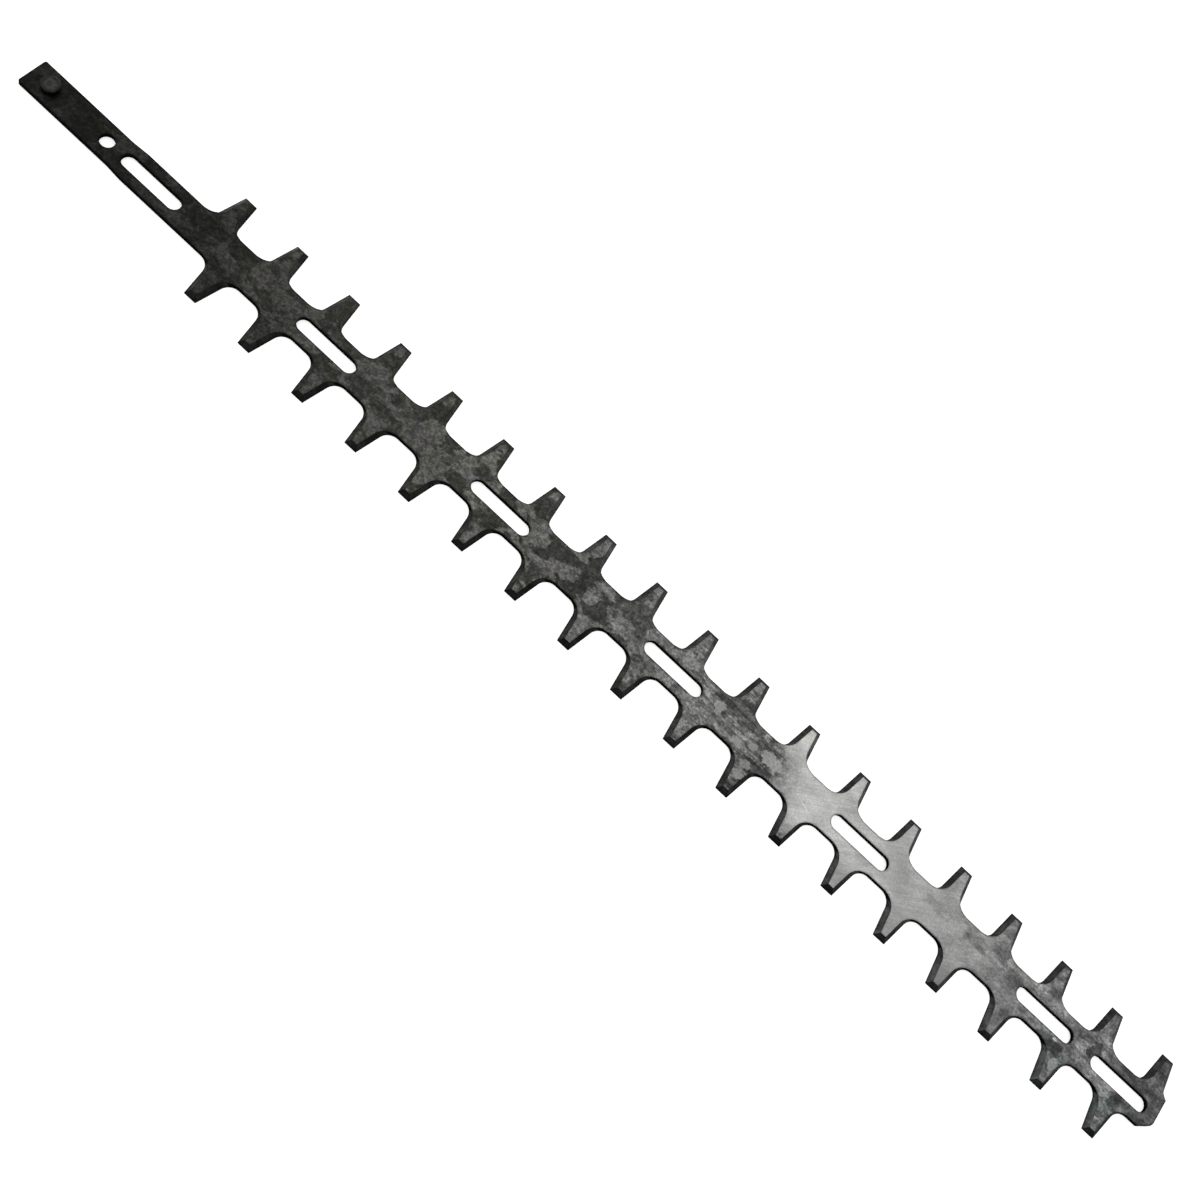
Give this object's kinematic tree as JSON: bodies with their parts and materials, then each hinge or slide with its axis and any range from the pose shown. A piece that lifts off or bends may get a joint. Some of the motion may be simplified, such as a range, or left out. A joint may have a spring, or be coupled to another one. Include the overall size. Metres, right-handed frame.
{
  "type": "hedge trimmer blade",
  "caption": "long flat steel cutter blade with staggered bevelled teeth along both edges, guide slots down the middle and a tang with a hole and a riveted drive pin",
  "frame": {"origin": "on the axis of the round drive hole, in the plane of the flat underside", "axes": "+X along the blade from the drive end to the nose, +Y towards the longer row of teeth, +Z out of the ground side"},
  "size_m": [0.7333, 0.0594, 0.0057],
  "materials": {
    "blade_steel": "hardened steel, blackened and oiled, ground bright on part of its face",
    "pin_steel": "turned steel, dulled by oil"
  },
  "bodies": {
    "root": {"blade": "blade_steel", "drive_pin": "pin_steel"}
  },
  "joints": []
}
